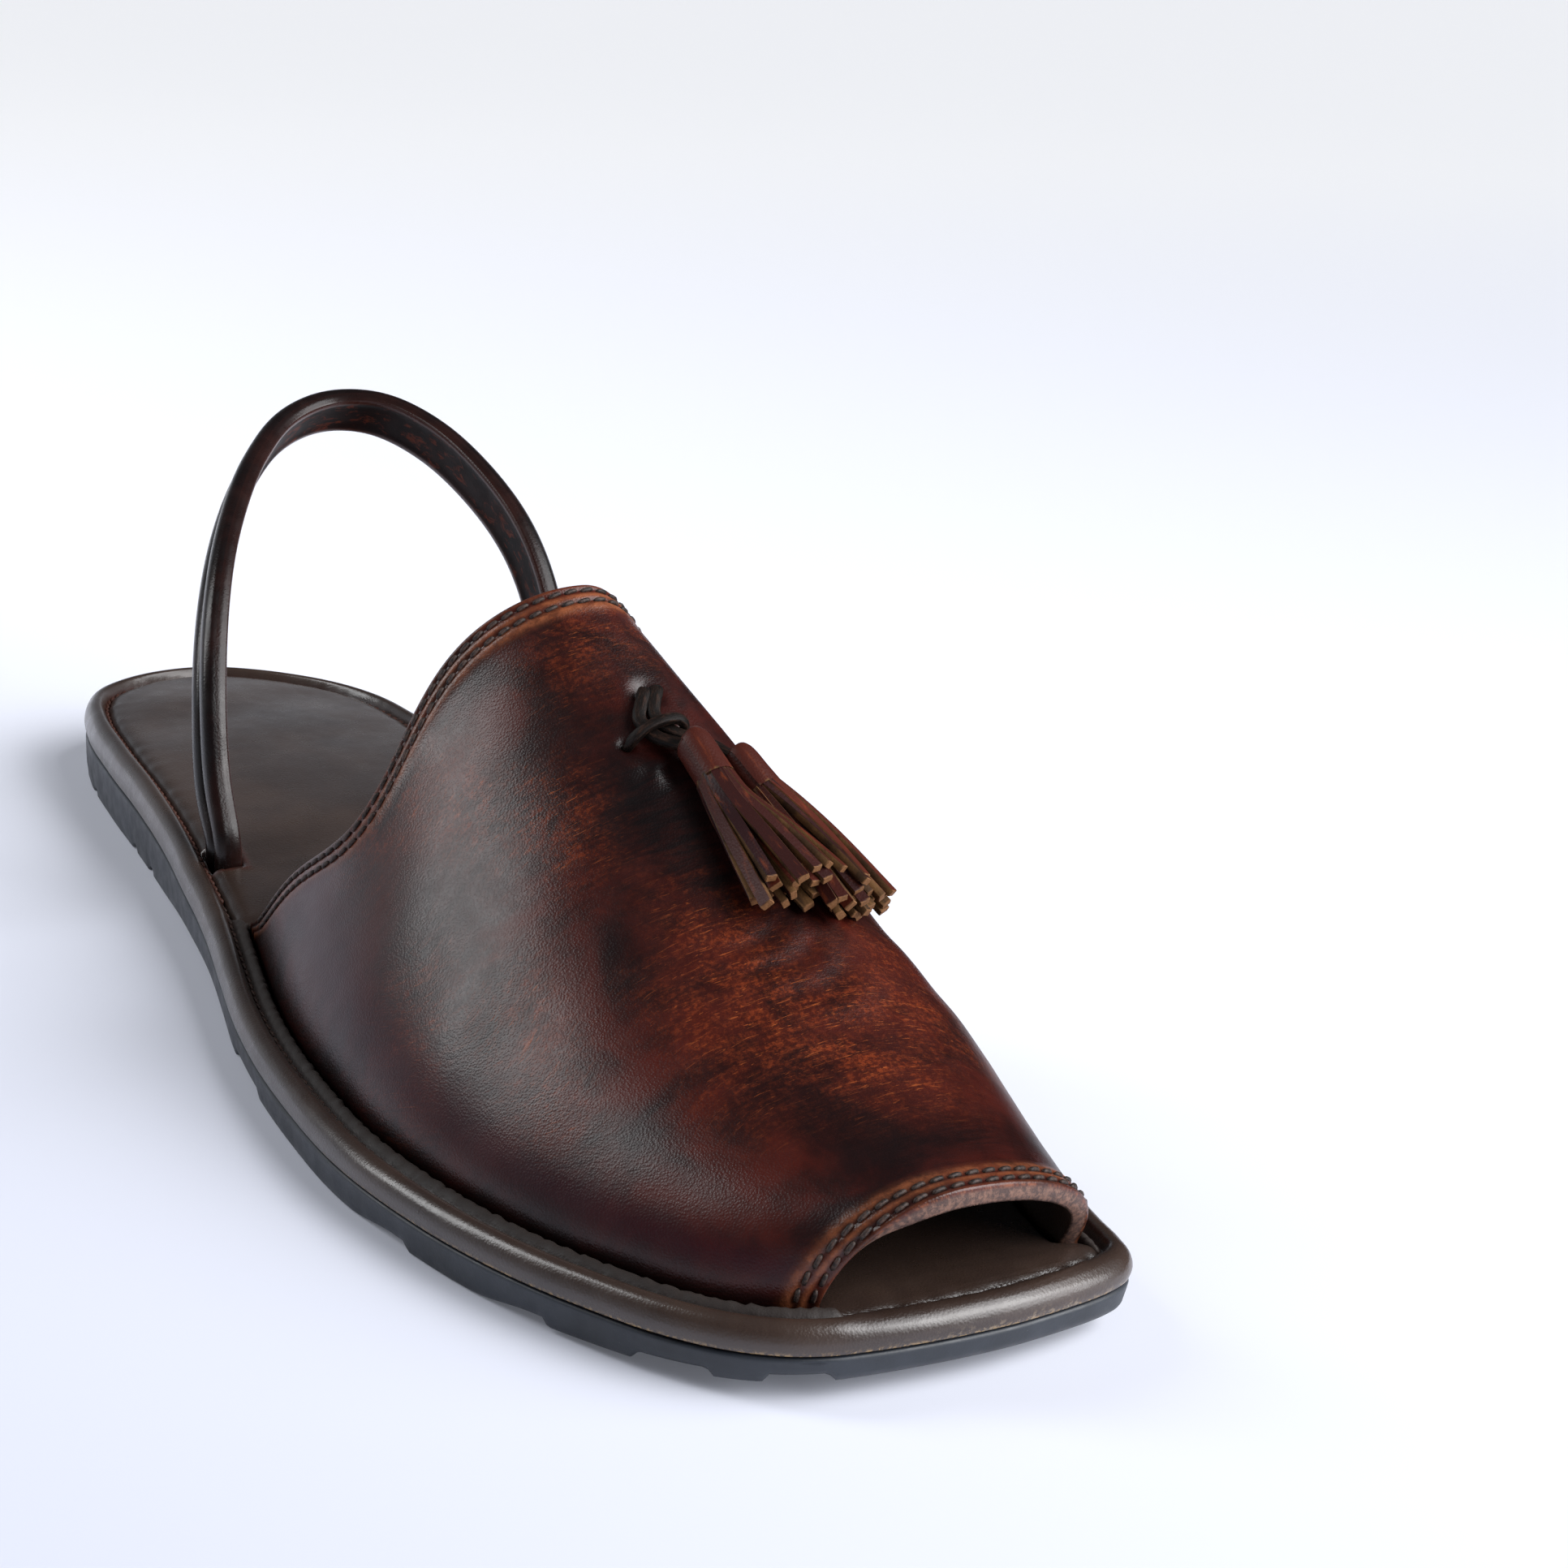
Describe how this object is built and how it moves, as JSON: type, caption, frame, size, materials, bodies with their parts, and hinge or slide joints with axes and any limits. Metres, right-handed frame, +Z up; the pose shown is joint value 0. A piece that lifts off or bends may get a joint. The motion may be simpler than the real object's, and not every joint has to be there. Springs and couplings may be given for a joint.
{
  "type": "leather sandal",
  "caption": "Right-foot leather sandal with a closed vamp, open arched toe, open back, tasselled thong and slingback heel strap on a thin lugged rubber sole.",
  "frame": {"origin": "middle of the box's underside, on the floor that the sole stands on", "axes": "+Z up, toe towards -Y, heel towards +Y, medial (inner) side of the right foot towards +X"},
  "size_m": [0.1016, 0.2922, 0.081],
  "materials": {
    "black_rubber": "matte blue-black rubber",
    "footbed_leather": "semi-gloss dark olive-brown leather",
    "burnished_leather": "burnished mahogany leather",
    "strap_leather": "glossy dark brown leather",
    "lace_leather": "dull near-black leather lace",
    "tassel_leather": "mahogany grain side, tan flesh side"
  },
  "bodies": {
    "root": {"outsole": "black_rubber", "rand": "footbed_leather", "insole": "footbed_leather", "upper": "burnished_leather", "heel_strap": "strap_leather", "keeper": "lace_leather", "tassel_left": "tassel_leather", "tassel_right": "tassel_leather"}
  },
  "joints": []
}
